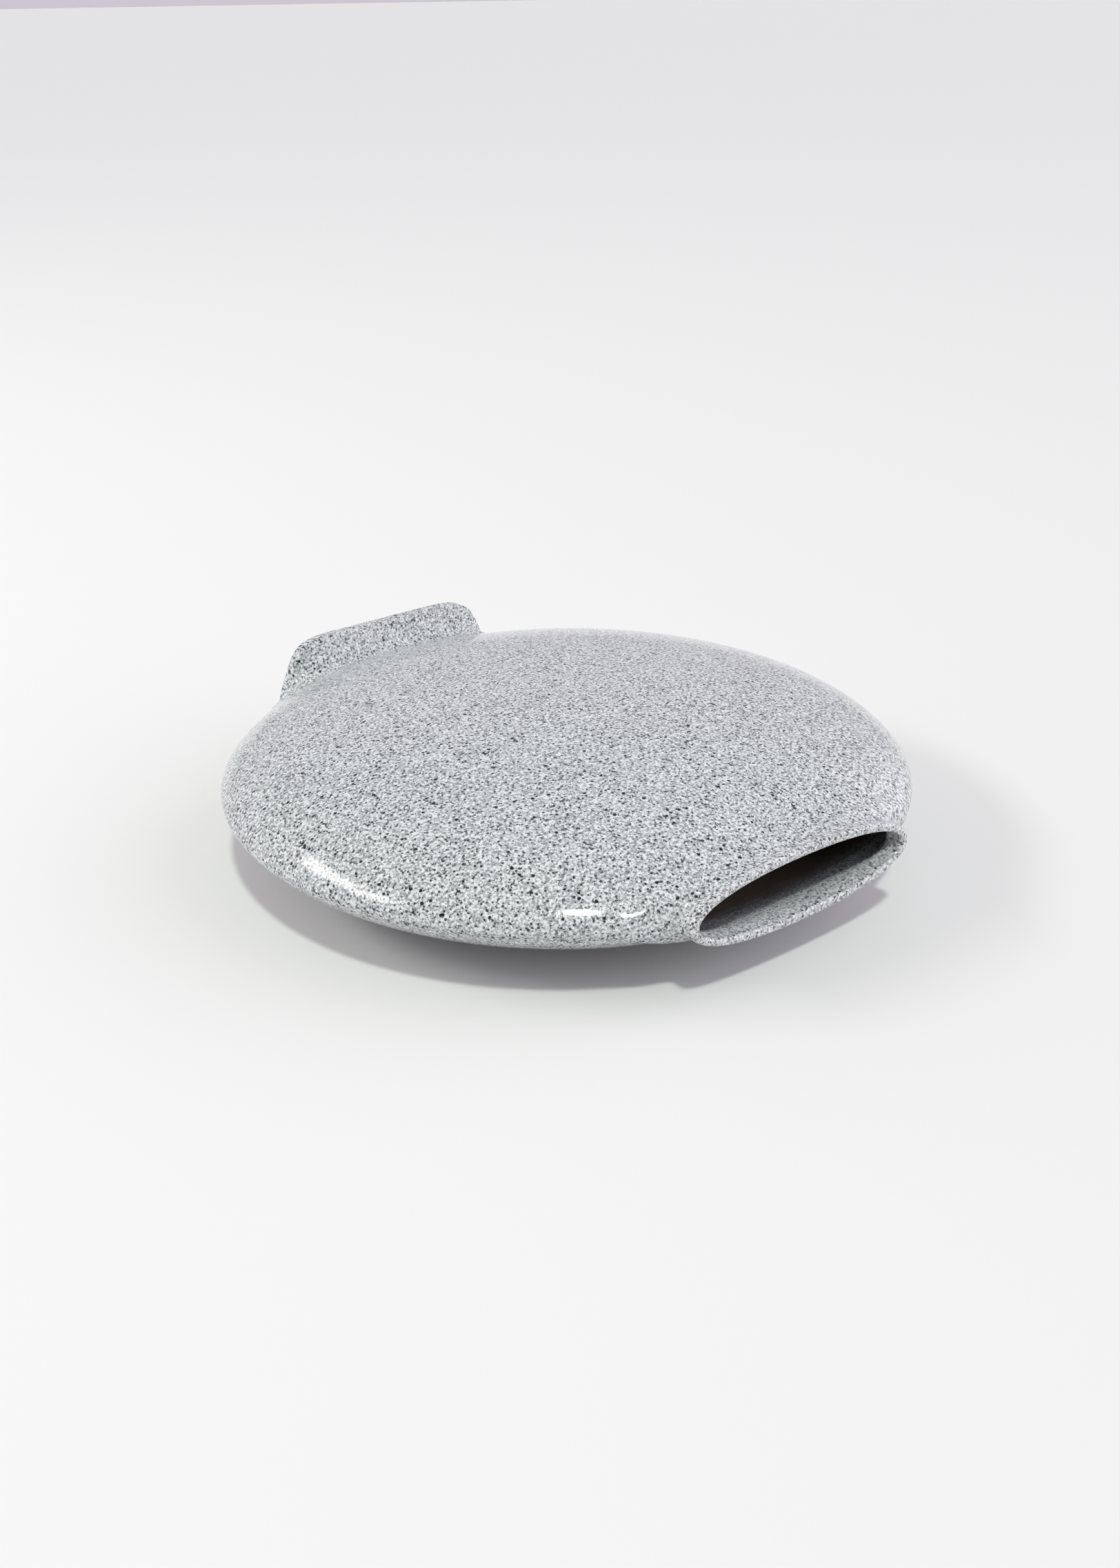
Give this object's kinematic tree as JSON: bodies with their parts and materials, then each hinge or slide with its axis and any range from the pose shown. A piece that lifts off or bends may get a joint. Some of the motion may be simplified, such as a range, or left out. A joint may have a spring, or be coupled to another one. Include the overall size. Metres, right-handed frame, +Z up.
{
  "type": "ceramic disc flask vase",
  "caption": "Flat round ceramic flask vase in glossy speckled glaze, lying on its side, with a lens-shaped flared mouth and a flared foot.",
  "frame": {"origin": "on the surface the flask lies on, below the middle of the disc, at the middle of its width and of its length from lip to foot", "axes": "+Z up through the disc as it lies, -Y out of the mouth, +Y out of the foot, X across the disc"},
  "size_m": [0.27, 0.261, 0.064],
  "materials": {
    "body_glaze": "high-gloss clear glaze over a grey and white body with fine black specks, like polished granite"
  },
  "bodies": {
    "root": {"upper_shell": "body_glaze", "lower_shell": "body_glaze", "mouth_collar": "body_glaze", "base_plate": "body_glaze", "foot_ring": "body_glaze"}
  },
  "joints": []
}
